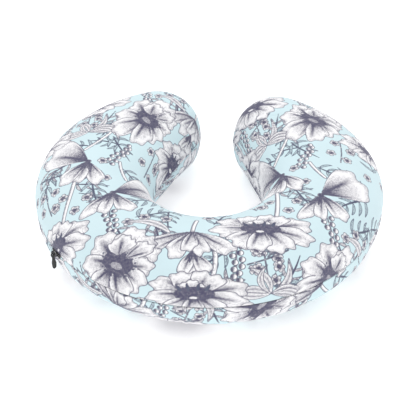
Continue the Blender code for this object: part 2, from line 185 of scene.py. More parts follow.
class Outline:
    """Stations once round, counter-clockwise from the front middle.

    edge, inward and ridge are plan vectors. angle is about the front arc's centre, and infinite
    off that arc. place runs from 0 to 6 over the sides and ends, the same for every spacing. zip is
    1 along the zip and 0 elsewhere.
    """

    def __init__(self, spacing):
        steps = math.ceil(OUTER_LENGTH / spacing)
        turns = math.ceil(END_RADIUS * (END_ANGLE - SIDE_ANGLE) / spacing)
        share = np.linspace(0, 1, steps + 1)
        outer, outer_in = outer_side(share)
        inner, inner_in = inner_side(share)
        drift = END_CENTRE - (outer[-1] + inner[-1]) / 2
        ridge = (outer + inner) / 2 + drift * (share**2)[:, None]
        part = np.linspace(0, 1, turns + 1)[1:-1]
        around = direction(SIDE_ANGLE + (END_ANGLE - SIDE_ANGLE) * part)
        edge = np.concatenate([outer, END_CENTRE + END_RADIUS * around, inner[::-1]])
        inward = np.concatenate([outer_in, -around, inner_in[::-1]])
        spine = np.concatenate([ridge, np.tile(END_CENTRE, (len(part), 1)), ridge[::-1]])
        place = np.concatenate([share, 1 + part, 2 + share])
        run = np.where(share * OUTER_LENGTH < FRONT_LENGTH, share * OUTER_LENGTH, math.inf)
        angle = np.concatenate([run / FRONT_RADIUS, np.full(len(edge) - len(run), math.inf)])
        flip = np.array([-1, 1])
        self.edge = SHIFT + np.concatenate([edge, edge[-2:0:-1] * flip])
        self.inward = np.concatenate([inward, inward[-2:0:-1] * flip])
        self.ridge = SHIFT + np.concatenate([spine, spine[-2:0:-1] * flip])
        self.place = np.concatenate([place, 6 - place[-2:0:-1]])
        self.angle = np.concatenate([angle, angle[-2:0:-1]])
        self.zip = 1 - smooth(ZIP_HALF_ANGLE - SLOT_FADE, ZIP_HALF_ANGLE, self.angle)


# ---------------------------------------------------------------- cross-section


HALF_WIDTH = float(np.linalg.norm(outer_side(np.zeros(1))[0] - inner_side(np.zeros(1))[0])) / 2


def profile(spacing, first_heights=()):
    """Rows of a cross-section from the seam to the ridge, evenly spaced along the cloth.

    Returns for each row the share of the half width, the share of the height, and the distance
    from the ridge along the cloth as a share of the half width. first_heights are rows just above
    the seam, in metres.
    """
    level = np.linspace(0, math.pi / 2, ARC_SAMPLES)
    flat = np.cos(level).clip(0) ** (2 / ROUNDING)
    rise = np.sin(level) ** (2 / ROUNDING)
    steps = np.hypot(np.diff(flat) * HALF_WIDTH, np.diff(rise) * CROWN_HEIGHT)
    along = np.concatenate([[0], np.cumsum(steps)])
    first = np.interp(first_heights, rise * CROWN_HEIGHT, along)
    start = first[-1] + spacing if len(first) else 0
    rows = np.concatenate([first, np.linspace(start, along[-1], math.ceil(along[-1] / spacing))])
    reach = (along[-1] - rows) / HALF_WIDTH
    return np.interp(rows, along, flat), np.interp(rows, along, rise), reach


def skin(stations, flat, rise, up, side=0.0, depth=0.0):
    """Grid of skin points [row, station], inside the outer skin by side and by depth."""
    edge = stations.edge + stations.inward * side
    plan = stations.ridge + (edge - stations.ridge) * flat[:, None, None]
    height = SEAM_HEIGHT + up * (CROWN_HEIGHT - depth) * rise
    height = np.broadcast_to(np.maximum(height, depth)[:, None, None], (*plan.shape[:2], 1))
    return np.concatenate([plan, height], -1)


def weld(grid):
    """Index of each grid point among the distinct points, and where each of those is in the grid."""
    keys = np.round(grid.reshape(-1, 3) / SAME_PLACE).astype(np.int64)
    _, first, index = np.unique(keys, axis=0, return_index=True, return_inverse=True)
    return index.reshape(grid.shape[:2]), first


def grid_mesh(name, grid, up):
    """A mesh object of a grid of points that closes on itself along the stations.

    up is 1 if the rows go upwards and -1 if they go downwards. Returns the object, and where each
    of its vertices is in the flattened grid.
    """
    index, first = weld(grid)
    here, there = index, np.roll(index, -1, axis=1)
    quads = np.stack([here[:-1], there[:-1], there[1:], here[1:]], -1).reshape(-1, 4)
    quads = quads[:, ::up]
    corners = np.sort(quads, 1)
    whole = (corners[:, 1:] != corners[:, :-1]).all(1)
    sliver = quads[~whole]
    halves = np.concatenate([sliver[:, [0, 1, 2]], sliver[:, [0, 2, 3]]])
    kept = (halves[:, 0] != halves[:, 1]) & (halves[:, 1] != halves[:, 2]) & (halves[:, 2] != halves[:, 0])
    faces = quads[whole].tolist() + halves[kept].tolist()
    mesh = bpy.data.meshes.new(name)
    mesh.from_pydata(grid.reshape(-1, 3)[first], [], faces)
    mesh.polygons.foreach_set("use_smooth", np.ones(len(faces), bool))
    made = bpy.data.objects.new(name, mesh)
    bpy.context.scene.collection.objects.link(made)
    return made, first


def store(mesh, name, values):
    """Writes one number for each vertex as an attribute that materials can read."""
    mesh.attributes.new(name, "FLOAT", "POINT").data.foreach_set("value", values.astype(np.float32))


# ---------------------------------------------------------------- simulation


def cubic(grid, at, axis):
    """Smooth values of a grid at fractional indices along one axis."""
    base = np.floor(at).astype(int)
    part = at - base
    weights = [
        -0.5 * part + part**2 - 0.5 * part**3,
        1 - 2.5 * part**2 + 1.5 * part**3,
        0.5 * part + 2 * part**2 - 1.5 * part**3,
        -0.5 * part**2 + 0.5 * part**3,
    ]
    shape = [1] * grid.ndim
    shape[axis] = -1
    size = grid.shape[axis]
    total = 0
    for offset, weight in zip((-1, 0, 1, 2), weights):
        index = base + offset
        index = index % size if axis else np.clip(index, 0, size - 1)
        total = total + np.take(grid, index, axis) * weight.reshape(shape)
    return total


def blown_up(made, held):
    """Where a closed cloth's vertices settle under pressure from inside. Removes the cloth."""
    cloth = made.modifiers.new("cloth", "CLOTH").settings
    cloth.quality = 6
    cloth.mass = 0.25
    cloth.tension_stiffness = 20
    cloth.compression_stiffness = 20
    cloth.shear_stiffness = 8
    cloth.bending_stiffness = 0.25
    cloth.use_pressure = True
    cloth.uniform_pressure_force = 4
    cloth.shrink_min = -0.012
    cloth.vertex_group_mass = held
    cloth.effector_weights.gravity = 0
    scene = bpy.context.scene
    for step in range(1, SIMULATED_FRAMES + 1):
        scene.frame_set(step)
    settled = made.evaluated_get(bpy.context.evaluated_depsgraph_get()).data
    points = np.empty(len(made.data.vertices) * 3, np.float32)
    settled.vertices.foreach_get("co", points)
    scene.frame_set(1)
    bpy.data.objects.remove(made)
    return points.reshape(-1, 3)


class Swell:
    """How the stuffing pushes the cloth out between its seams, from a cloth simulation."""

    def __init__(self):
        self.stations = Outline(SWELL_SPACING)
        self.flat, self.rise, self.reach = profile(SWELL_SPACING)
        self.moved = self.simulated()

    def simulated(self):
        smaller = dict(side=SWELL_ROOM, depth=SWELL_ROOM)
        top = skin(self.stations, self.flat, self.rise, 1, **smaller)
        bottom = skin(self.stations, self.flat, self.rise, -1, **smaller)
        target = np.stack([skin(self.stations, self.flat, self.rise, up) for up in (1, -1)])
        start = np.concatenate([top[::-1], bottom[1:]])
        made, first = grid_mesh("swelling", start, -1)
        index, _ = weld(start)
        rows = len(top)
        low = np.flatnonzero(start.reshape(-1, 3)[first][:, 2] <= SWELL_ROOM + MM / 10)
        held = made.vertex_groups.new(name="held")
        held.add(sorted({*index[rows - 1].tolist(), *low.tolist()}), 1.0, "REPLACE")
        points = blown_up(made, held.name)[index]
        moved = np.stack([points[:rows][::-1], points[rows - 1 :]]) - target
        length = np.linalg.norm(moved, axis=-1, keepdims=True)
        return moved * np.minimum(1, MOST_MOVE / np.maximum(length, SAME_PLACE))

    def at(self, stations, reach, up):
        """The movement of each point of a grid with these stations and rows."""
        column = np.interp(
            stations.place,
            np.append(self.stations.place, 6),
            np.arange(len(self.stations.place) + 1),
        )
        row = np.interp(reach, self.reach[::-1], np.arange(len(self.reach))[::-1])
        moved = cubic(cubic(self.moved[0 if up > 0 else 1], row, 0), column, 1)
        from_seam = (self.reach[0] - reach) * HALF_WIDTH
        free = smooth(0, CALM_BAND, from_seam)[:, None]
        free = free * stations.zip + smooth(0, CALM_BAND / 4, from_seam)[:, None] * (1 - stations.zip)
        return moved * free[..., None]


# ---------------------------------------------------------------- sewn panels


def panel(name, up, swell, spacing, side, depth, slotted):
    """One sewn panel: the skin, a soft roll at the seam, and the edge turned in behind it.

    Returns the object, where each vertex lies in the flat cloth, and the same places drawn in to
    the plan outline.
    """
    stations = Outline(spacing)
    opening = stations.zip if slotted else np.zeros(len(stations.edge))
    radius = SEAM_ROLL + (SLOT_ROLL - SEAM_ROLL) * opening
    gap = SEAM_HALF_GAP + (SLOT_HALF_GAP - SEAM_HALF_GAP) * opening
    turned = SEAM_TURN + (SLOT_TURN - SEAM_TURN) * opening
    flat, rise, reach = profile(spacing, [share * SEAM_ROLL for share in ROLL_HEIGHTS])
    grid = skin(stations, flat, rise, up, side, depth)
    above = np.abs(grid[..., 2] - SEAM_HEIGHT)
    inset = radius - np.sqrt(radius**2 - np.clip(radius - above, 0, None) ** 2)
    grid[..., :2] += stations.inward * inset[..., None]
    grid[..., 2] += up * gap * (1 - smooth(0, 1, above / (GAP_FADE * radius)))
    grid += swell.at(stations, reach, up)
    grid[..., 2] = np.maximum(grid[..., 2], depth)
    edges = []
    turn_shares = np.array([1.0, 0.5])
    for share in turn_shares:
        plan = stations.edge + stations.inward * (side + radius + turned * share)[:, None]
        height = np.broadcast_to((SEAM_HEIGHT + up * gap)[:, None], (len(plan), 1))
        edges.append(np.concatenate([plan, height], 1)[None])
    grid = np.concatenate([*edges, grid])
    behind = turn_shares * SEAM_TURN / HALF_WIDTH
    reach = np.concatenate([reach[0] + behind, reach])
    made, first = grid_mesh(name, grid, up)
    outward = stations.edge + stations.inward * side - stations.ridge
    cloth, spread = (
        (stations.ridge + outward * far[:, None, None]).reshape(-1, 2)[first]
        for far in (reach, reach / reach[0])
    )
    return made, cloth, spread


def lay_out(made, spread):
    """A UV map from the cloth drawn in to the plan outline, so that no two points share a place."""
    mesh = made.data
    low, high = spread.min(0), spread.max(0)
    share = 0.01 + 0.98 * (spread - low) / (high - low).max()
    corners = np.empty(len(mesh.loops), np.int32)
    mesh.loops.foreach_get("vertex_index", corners)
    layer = mesh.uv_layers.new(name="OFBake")
    layer.data.foreach_set("uv", share[corners].astype(np.float32).ravel())


# ---------------------------------------------------------------- print: how it is drawn


class Drawing:
    """A flower print evaluated at the places of a cloth, as fields that the cloth's material reads.

    line_a and line_b are signed distances to drawn outlines, white is the distance into the white
    shapes, shade is how dense the hatching is, and hatch counts its strokes. Shapes go down in
    order, the later ones over the earlier, and neighbours take turns between the two line fields.
    """

    def __init__(self, cloth):
        self.cloth = cloth
        count = len(cloth)
        self.lines = np.full((2, count), FAR)
        self.white = np.full(count, FAR)
        self.shade = np.zeros(count)
        self.hatch = np.zeros(count)
        self.turn = 0

    def lay(self, centre, reach, shape, white=True):
        """Lays one shape. shape(x, y) about the centre gives its level, negative inside, and the
        density and count of its hatching."""
        offset = self.cloth - centre
        offset -= np.round(offset / REPEAT) * REPEAT
        near = np.flatnonzero((np.abs(offset) < reach).all(1))
        x, y = offset[near].T
        level, shade, hatch = shape(x, y)
        step = MM / 10
        slope_x = (shape(x + step, y)[0] - level) / step
        slope_y = (shape(x, y + step)[0] - level) / step
        level = np.clip(level / np.maximum(np.hypot(slope_x, slope_y), LEAST_SLOPE), -FAR, FAR)
        inside = level < 0
        line, other = self.lines[self.turn], self.lines[1 - self.turn]
        before = line[near]
        line[near] = np.where(inside | (level < np.abs(before)), level, before)
        other[near] = np.where(inside, FAR, other[near])
        before = self.white[near]
        covered = np.minimum(before, level) if white else np.maximum(before, -level)
        self.white[near] = covered
        self.shade[near] = np.where(inside, shade, self.shade[near])
        self.hatch[near] = np.where(inside, hatch, self.hatch[near])
        self.turn = 1 - self.turn


def aimed(x, y, heading, squash=1.0, lean=0.0):
    """Places in a flower's own axes: y runs along its heading, clockwise from straight back, and
    the flower is seen foreshortened by squash across lean."""
    c, s = math.cos(lean), math.sin(lean)
    across, along = x * c - y * s, x * s + y * c
    along = along / squash
    x, y = across * c + along * s, along * c - across * s
    c, s = math.cos(heading), math.sin(heading)
    return x * c - y * s, x * s + y * c


def petal(heading, length, spread, seed, squash=1.0, lean=0.0, dark=0.9, ruffle=0.07, root=0.0):
    """A poppy petal: a fan from its root with a ruffled rim, hatched from the root outwards."""

    def shape(x, y):
        x, y = aimed(x, y, heading, squash, lean)
        y = y - root
        far, angle = np.hypot(x, y), np.arctan2(x, y)
        share = np.clip(np.abs(angle) / spread, 0, 1)
        waves = np.sin(7 * angle + seed) + 0.7 * np.sin(19 * angle + 2.3 * seed)
        rim = length * (1 - share**2.6) ** 0.42 * (1 + ruffle * waves)
        rim = np.maximum(rim, MM / 10)
        out = far / rim
        folds = np.abs(np.sin(3.1 * angle / spread + seed)) ** 14
        shade = dark * (1 - smooth(0.05, 0.55, out)) + 0.32 * (1 - smooth(0.4, 0.95, out))
        shade = shade + 0.30 * smooth(0.86, 1.0, out) + 0.7 * folds * (1 - smooth(0.5, 1.0, out))
        strokes = angle * length / (1.5 * MM) + 0.5 * np.sin(9 * out + seed)
        return far - rim, shade, strokes

    return shape


def oval(width, height, heading, shade, lit=0.0):
    """An oval, hatched along its length, lighter towards its upper right by lit."""

    def shape(x, y):
        x, y = aimed(x, y, heading)
        level = np.hypot(x / width, y / height)
        dark = shade - lit * smooth(-0.7, 0.5, (x + y) / (width + height))
        return (level - 1) * min(width, height), np.clip(dark, 0, 1), x / (1.3 * MM)

    return shape


def leaf(heading, length, width, bend=0.0, shade=0.25):
    """A pointed leaf from its root, with a dark midrib side."""

    def shape(x, y):
        x, y = aimed(x, y, heading)
        share = np.clip(y / length, 0, 1)
        side = x - bend * length * share * (1 - share) * 4
        half = width * np.sin(math.pi * share**0.8) ** 0.8
        level = np.where((y < 0) | (y > length), np.hypot(side, y - length * share), np.abs(side) - half)
        dark = shade + 0.55 * (1 - smooth(0.0, 0.35, np.abs(side) / np.maximum(half, MM / 5)))
        return level, dark * smooth(0, 0.15, share), (side + 0.4 * y) / (1.5 * MM)

    return shape


def stem(points, radius):
    """A tube along a curve through three points, darker down one side."""
    start, middle, end = (np.array(p) for p in points)
    share = np.linspace(0, 1, STEM_PIECES + 1)[:, None]
    route = start * (1 - share) ** 2 + middle * 2 * share * (1 - share) + end * share**2

    def shape(x, y):
        nearest = np.full(x.shape, math.inf)
        side = np.zeros(x.shape)
        for a, b in zip(route, route[1:]):
            run = b - a
            length = np.hypot(*run)
            t = np.clip(((x - a[0]) * run[0] + (y - a[1]) * run[1]) / length**2, 0, 1)
            away = np.hypot(x - a[0] - t * run[0], y - a[1] - t * run[1])
            across = ((x - a[0]) * run[1] - (y - a[1]) * run[0]) / length
            side = np.where(away < nearest, across, side)
            nearest = np.minimum(nearest, away)
        return nearest - radius, 0.7 * smooth(0.1, 0.9, side / radius), side / (0.9 * MM)

    return shape


# ---------------------------------------------------------------- print: what is drawn


def compass(heading):
    """Unit vectors along a heading in degrees, clockwise from straight back, and to its right."""
    turn = math.radians(heading)
    return np.array([math.sin(turn), math.cos(turn)]), np.array([math.cos(turn), -math.sin(turn)])


def fans(drawing, centre, petals, **look):
    """Petals from one root, each given by its heading, its length and its half spread."""
    for i, (heading, length, spread) in enumerate(petals):
        shape = petal(math.radians(heading), length, math.radians(spread), 1.7 * i + length, **look)
        drawing.lay(centre, 1.2 * length + look.get("root", 0), shape)


def stamens(drawing, centre, width, height, lean, count):
    """Short dark dots round a cup, at uneven distances from it."""
    for i in range(count):
        turn = 2 * math.pi * i / count
        far = 1.22 + 0.13 * math.sin(5 * turn)
        x, y = width * far * math.cos(turn), height * far * math.sin(turn)
        c, s = math.cos(lean), math.sin(lean)
        place = centre + [x * c + y * s, y * c - x * s]
        drawing.lay(place, 3 * MM, oval(1.0 * MM, 1.0 * MM, 0.0, SOLID), white=False)


def cupped_poppy(drawing, x, y):
    """An open poppy seen from its side and above: a dark cup behind curled petals."""
    centre = np.array([x, y])
    lean = math.radians(32)
    see = dict(squash=0.85, lean=-lean)
    fans(drawing, centre, [(74, 0.052, 44), (-26, 0.056, 50), (30, 0.058, 54)], dark=0.9, **see)
    fans(drawing, centre, [(-82, 0.056, 38), (112, 0.048, 36), (-128, 0.064, 38), (146, 0.058, 32),
                           (178, 0.062, 34)], dark=1.1, **see)
    cup = centre + [0.001, 0.002]
    stamens(drawing, cup, 0.019, 0.013, lean, 24)
    drawing.lay(cup, 0.03, oval(0.021, 0.014, lean, SOLID))
    drawing.lay(cup - [0.002, 0.004], 0.02, oval(0.009, 0.005, lean, 0.55))
    fans(drawing, centre, [(62, 0.036, 40), (8, 0.032, 62)], dark=0.2, root=0.012, **see)


def spread_poppy(drawing, x, y):
    """A wide flat poppy with a dark heart, a folded brim behind it and a ruffled skirt."""
    centre = np.array([x, y])
    see = dict(squash=0.72)
    fans(drawing, centre, [(-70, 0.054, 42), (76, 0.060, 40), (-18, 0.044, 44), (30, 0.046, 44)],
         dark=1.0, **see)
    fans(drawing, centre, [(-104, 0.058, 34), (108, 0.062, 34), (-144, 0.056, 34), (148, 0.058, 34),
                           (-176, 0.052, 30)], dark=SOLID, **see)
    fans(drawing, centre, [(-14, 0.026, 74)], dark=0.6, squash=0.6, root=0.005)
    drawing.lay(centre, 0.03, oval(0.024, 0.0095, 0.0, SOLID))
    for side in (-0.015, -0.006, 0.004, 0.013):
        drawing.lay(centre + [side, 0.004], 0.02, leaf(side * 40, 0.011, 0.0018, shade=SOLID), white=False)
    drawing.lay(centre - [0.001, 0.006], 0.01, oval(0.0055, 0.0026, 0.0, 0.15))


def side_poppy(drawing, x, y, petals, stalk):
    """A poppy seen from its side: its petals fan out from its heart and its stalk rises behind."""
    centre = np.array([x, y])
    drawing.lay(centre, 0.11, stem(stalk, STALK))
    fans(drawing, centre, petals, dark=0.75, ruffle=0.06)
    for heading, length, spread in petals[:3]:
        fold = leaf(math.radians(heading + 0.4 * spread), 0.5 * length, 0.05 * length, shade=0.9)
        drawing.lay(centre, length, fold)
    drawing.lay(centre, 0.01, oval(4.0 * MM, 3.4 * MM, 0.0, SOLID))


def berries(drawing, x, y, heading):
    """A spray of round berries, each with a dark crescent, down both sides of a thin stalk."""
    centre = np.array([x, y])
    along, across = compass(heading)
    drawing.lay(centre, 0.05, stem([-along * 0.028, across * 0.003, along * 0.03], TWIG))
    for i in range(13):
        side = (1 if i % 2 else -1) * (5.8 - 0.3 * i + 1.6 * math.sin(2.2 * i)) * MM
        place = centre + along * (-0.028 + 0.0047 * i) + across * side
        drawing.lay(place, 0.01, oval(3.7 * MM, 3.9 * MM, 0.9, SOLID, lit=1.5))


def blossom(drawing, x, y, seed):
    """A small five-petalled flower with a dark heart."""
    centre = np.array([x, y])
    petals = [(72 * k + 40 * seed, 7.5 * MM, 38) for k in range(5)]
    fans(drawing, centre, petals, dark=0.8, ruffle=0.03)
    drawing.lay(centre, 0.01, oval(2.8 * MM, 2.3 * MM, 0.4, SOLID))


def blossoms(drawing, x, y, heading):
    """A few small flowers on one twig."""
    along, across = compass(heading)
    centre = np.array([x, y])
    drawing.lay(centre, 0.05, stem([along * 0.026, across * 0.004, -along * 0.03], TWIG))
    offsets = [(-0.020, 0.010), (-0.010, -0.014), (0.004, 0.016), (0.018, -0.008)]
    for seed, (run, side) in enumerate(offsets):
        blossom(drawing, *(centre + along * run + across * side), seed)


def sprig(drawing, x, y, heading, length, pairs, white):
    """A twig with pairs of narrow leaves and one at its tip."""
    centre = np.array([x, y])
    along, _ = compass(heading)
    turn = math.radians(heading)
    for i in range(pairs):
        place = centre + along * length * (i + 0.3) / (pairs + 0.5)
        size = length * (0.46 - 0.2 * i / pairs)
        for side in (-1, 1):
            aim = turn + side * math.radians(52 - 5 * i)
            drawing.lay(place, 0.05, leaf(aim, size, 0.10 * size, 0.10 * side, 0.3), white)
    drawing.lay(centre, 0.09, leaf(turn, length * 1.12, 0.9 * MM, 0.03, SOLID), white)


def burst(drawing, x, y, leaves):
    """Long curved leaves from one place, each given by its heading, its length and its bend."""
    for heading, length, bend in leaves:
        shape = leaf(math.radians(heading), length, 0.10 * length, bend, 0.15)
        drawing.lay(np.array([x, y]), 1.2 * length, shape)


def undergrowth(drawing):
    """Small sprigs and blossoms at evenly scattered places, which the flowers then partly cover."""
    for i in range(UNDERGROWTH):
        place = REPEAT * (SCATTER * i % 1)
        if i % 3:
            sprig(drawing, *place, 137.5 * i, 0.044, 3, i % 3 == 1)
        else:
            blossom(drawing, *place, i)


def draw(place):
    """The whole repeat: leaves and twigs first, then stalks and flowers over them."""
    drawing = Drawing(place)
    undergrowth(drawing)
    for x, y, heading, length, pairs, white in (
        (-0.228, 0.062, -60, 0.050, 3, True), (-0.148, 0.060, 140, 0.052, 3, False),
        (-0.150, 0.098, 40, 0.046, 3, True), (-0.052, -0.060, -125, 0.060, 4, False),
        (-0.040, -0.100, 60, 0.046, 3, False), (0.051, -0.012, 190, 0.060, 4, False),
        (-0.086, -0.128, 60, 0.050, 3, False), (0.094, -0.236, 20, 0.050, 3, True),
        (0.060, 0.130, 40, 0.060, 3, False), (-0.155, -0.050, 160, 0.050, 3, False),
        (0.010, 0.050, 30, 0.060, 3, True), (-0.020, 0.010, -20, 0.056, 3, False),
        (0.020, -0.020, 100, 0.050, 3, True), (-0.150, -0.215, 200, 0.050, 3, False),
    ):
        sprig(drawing, x, y, heading, length, pairs, white)
    for x, y, heading in ((-0.130, 0.021, 30), (-0.112, -0.144, 165), (0.039, -0.210, 178),
                          (-0.180, 0.146, 40)):
        berries(drawing, x, y, heading)
    for x, y, heading in ((-0.075, 0.036, 10), (0.074, -0.206, 170), (0.076, 0.125, 60),
                          (0.055, -0.075, 160)):
        blossoms(drawing, x, y, heading)
    for seed, (x, y) in enumerate((
        (0.081, -0.078), (-0.168, -0.106), (-0.155, -0.085), (-0.151, 0.001), (-0.138, -0.038),
        (-0.093, -0.138), (-0.074, -0.126), (-0.047, -0.128), (0.004, -0.118), (0.020, 0.020),
    )):
        blossom(drawing, x, y, seed)
    burst(drawing, -0.190, 0.074, ((-105, 0.050, 0.2), (-80, 0.060, -0.2), (-45, 0.045, 0.2),
                                   (-12, 0.040, -0.3), (18, 0.052, 0.2), (48, 0.060, 0.3),
                                   (82, 0.050, -0.2), (112, 0.058, -0.3)))
    burst(drawing, -0.040, -0.160, ((-70, 0.060, 0.2), (-95, 0.052, -0.2)))
    for x, y, points in (
        (0.090, -0.080, [(0, 0.050), (0.006, 0.005), (-0.004, -0.052)]),
        (0.012, -0.215, [(0, 0.030), (0.006, 0), (-0.008, -0.030)]),
    ):
        drawing.lay(np.array([x, y]), 0.07, stem(points, NECK))
    side_poppy(drawing, -0.171, -0.003, (
        (152, 0.056, 22), (-172, 0.046, 24), (-146, 0.056, 24), (-62, 0.086, 36),
    ), [(0.018, 0.075), (0.006, 0.052), (-0.012, 0.030)])
    side_poppy(drawing, -0.122, -0.072, (
        (-150, 0.060, 16), (-172, 0.046, 20), (146, 0.050, 26), (56, 0.084, 36),
    ), [(-0.004, 0.078), (0.002, 0.056), (0.012, 0.040)])
    side_poppy(drawing, -0.012, -0.190, (
        (178, 0.036, 34), (-160, 0.034, 26), (152, 0.036, 26),
    ), [(0.002, 0.060), (-0.001, 0.048), (-0.002, 0.034)])
    fans(drawing, np.array([-0.014, -0.156]), (
        (-118, 0.072, 17), (126, 0.056, 22), (-150, 0.050, 24), (160, 0.044, 24), (-174, 0.034, 30),
    ), dark=0.55)
    spread_poppy(drawing, 0.067, -0.147)
    spread_poppy(drawing, -0.010, -0.250)
    cupped_poppy(drawing, -0.102, 0.115)
    return drawing


# ---------------------------------------------------------------- materials


class Nodes:
    """Builds one material. Each short call adds a node and returns its output socket."""

    def __init__(self, name, **settings):
        self.material = bpy.data.materials.new(name)
        self.material.use_nodes = True
        self.tree = self.material.node_tree
        self.shader = self.tree.nodes["Principled BSDF"]
        for key, value in settings.items():
            self.shader.inputs[key.replace("_", " ")].default_value = value

    def feed(self, node, inputs):
        for key, value in inputs.items():
            socket = node.inputs[key]
            if isinstance(value, bpy.types.NodeSocket):
                self.tree.links.new(value, socket)
            else:
                socket.default_value = value

    def add(self, kind, inputs=None, output=0, **settings):
        node = self.tree.nodes.new("ShaderNode" + kind)
        for key, value in settings.items():
            setattr(node, key, value)
        self.feed(node, inputs or {})
        return node.outputs[output]

    def math(self, operation, a, b=0.0):
        return self.add("Math", {0: a, 1: b}, operation=operation)

    def attribute(self, name, output="Fac"):
        return self.add("Attribute", output=output, attribute_name=name)

    def step(self, value, low, high, start=0.0, end=1.0):
        inputs = {"Value": value, "From Min": low, "From Max": high, "To Min": start, "To Max": end}
        return self.add("MapRange", inputs, interpolation_type="SMOOTHSTEP")

    def mix(self, share, a, b, blend="MIX"):
        node = self.tree.nodes.new("ShaderNodeMix")
        node.data_type = "RGBA"
        node.blend_type = blend
        self.feed(node, {0: share, 6: a, 7: b})
        return node.outputs[2]

    def noise(self, place, scale, detail=3.0, roughness=0.6):
        inputs = {"Vector": place, "Scale": scale, "Detail": detail, "Roughness": roughness}
        return self.add("TexNoise", inputs)

    def bump(self, height, distance, strength=1.0, normal=None):
        inputs = {"Height": height, "Distance": distance, "Strength": strength}
        if normal is not None:
            inputs["Normal"] = normal
        return self.add("Bump", inputs)

    def weave(self, place, pitch):
        """Height of a plain weave: warp and weft threads that pass over and under in turn."""
        split = self.tree.nodes.new("ShaderNodeSeparateXYZ")
        self.feed(split, {0: place})
        across = self.math("MULTIPLY", split.outputs[0], math.pi / pitch)
        along = self.math("MULTIPLY", split.outputs[1], math.pi / pitch)
        threads = [self.math("ABSOLUTE", self.math("SINE", angle)) for angle in (across, along)]
        turns = self.math("MULTIPLY", self.math("COSINE", across), self.math("COSINE", along))
        over = self.step(turns, -0.2, 0.2)
        first = self.math("MULTIPLY", threads[0], over)
        second = self.math("MULTIPLY", threads[1], self.math("SUBTRACT", 1.0, over))
        return self.math("ADD", first, second)

    def finish(self, colour, normal):
        self.feed(self.shader, {"Base Color": colour, "Normal": normal})
        return self.material


def shade_of(red, green, blue):
    """A colour from the usual 0 to 255 numbers, in the linear values that shaders take."""
    linear = [((c / 255 + 0.055) / 1.055) ** 2.4 for c in (red, green, blue)]
    return (*linear, 1.0)


GROUND = shade_of(206, 228, 234)
PETAL = shade_of(243, 242, 244)
PETAL_SHADE = shade_of(184, 181, 190)
INK = shade_of(54, 52, 88)
CASING_WHITE = shade_of(238, 238, 235)
FIBRE_WHITE = shade_of(246, 246, 244)
THREAD_BLUE = shade_of(206, 226, 232)
TAPE_BLUE = shade_of(204, 220, 226)
TAPE_SHADE = shade_of(168, 186, 194)
COIL_BLUE = shade_of(208, 222, 228)
COIL_SHADE = shade_of(170, 186, 193)
ENAMEL = shade_of(20, 20, 21)
RUBBED_METAL = shade_of(96, 96, 98)


def printed_cloth():
    """Woven polyester with the drawn print, which it reads from the cloth's own fields."""
    nodes = Nodes("printed_cloth", Roughness=0.82, Sheen_Weight=0.12, Sheen_Roughness=0.5)
    place = nodes.attribute("cloth", "Vector")
    wobble = nodes.noise(place, 900.0)
    ragged = nodes.math("MULTIPLY", nodes.math("SUBTRACT", wobble, 0.5), 0.35 * MM)
    distances = [nodes.math("ABSOLUTE", nodes.attribute(name)) for name in ("line_a", "line_b")]
    nearest = nodes.math("ADD", nodes.math("MINIMUM", *distances), ragged)
    line = nodes.step(nearest, LINE - 0.25 * MM, LINE + 0.35 * MM, 1.0, 0.0)
    white = nodes.step(nodes.attribute("white"), -0.3 * MM, 0.3 * MM, 1.0, 0.0)
    shade = nodes.attribute("shade")
    turn = nodes.math("FRACT", nodes.attribute("hatch"))
    valley = nodes.math("MULTIPLY", nodes.math("ABSOLUTE", nodes.math("SUBTRACT", turn, 0.5)), 2.0)
    broken = nodes.math("ADD", valley, nodes.step(nodes.noise(place, 260.0), 0.3, 0.7, -0.16, 0.16))
    stroke = nodes.step(nodes.math("SUBTRACT", broken, shade), -0.12, 0.16, 1.0, 0.0)
    stroke = nodes.math("MULTIPLY", stroke, nodes.step(shade, 0.02, 0.12))
    paper = nodes.mix(nodes.step(shade, 0.0, 0.9, 0.0, 0.55), PETAL, PETAL_SHADE)
    colour = nodes.mix(white, GROUND, paper)
    ink = nodes.math("MAXIMUM", nodes.math("MULTIPLY", line, 0.88), nodes.math("MULTIPLY", stroke, 0.96))
    uneven = nodes.step(nodes.noise(place, 120.0), 0.25, 0.75, 0.92, 1.0)
    colour = nodes.mix(nodes.math("MULTIPLY", ink, uneven), colour, INK)
    faded = nodes.step(nodes.noise(place, 14.0), 0.3, 0.7, 0.965, 1.0)
    grey = nodes.add("CombineColor", {0: faded, 1: faded, 2: faded})
    colour = nodes.mix(1.0, colour, grey, "MULTIPLY")
    threads = nodes.weave(place, 0.42 * MM)
    slubs = nodes.bump(nodes.noise(place, 420.0), 0.12 * MM, 0.5)
    return nodes.finish(colour, nodes.bump(threads, 0.05 * MM, 0.6, slubs))


def woven_tape():
    """The zip's tape: a plain weave of uneven threads in the cloth's colour, with painted shade between
    them.
    """
    nodes = Nodes("woven_tape", Roughness=0.9, Sheen_Weight=0.15)
    place = nodes.add("TexCoord", output="Object")
    tone = nodes.step(nodes.noise(place, 240.0), 0.3, 0.7)
    threads = nodes.weave(place, 0.5 * MM)
    hollow_shade = nodes.math("SUBTRACT", 1.0, threads)
    colour = nodes.mix(nodes.math("MULTIPLY", tone, 0.6), TAPE_BLUE, TAPE_SHADE)
    # painted shade: the hollows between the threads are darkened towards TAPE_SHADE
    colour = nodes.mix(nodes.math("MULTIPLY", hollow_shade, 0.4), colour, TAPE_SHADE)
    return nodes.finish(colour, nodes.bump(threads, 0.08 * MM, 0.8))


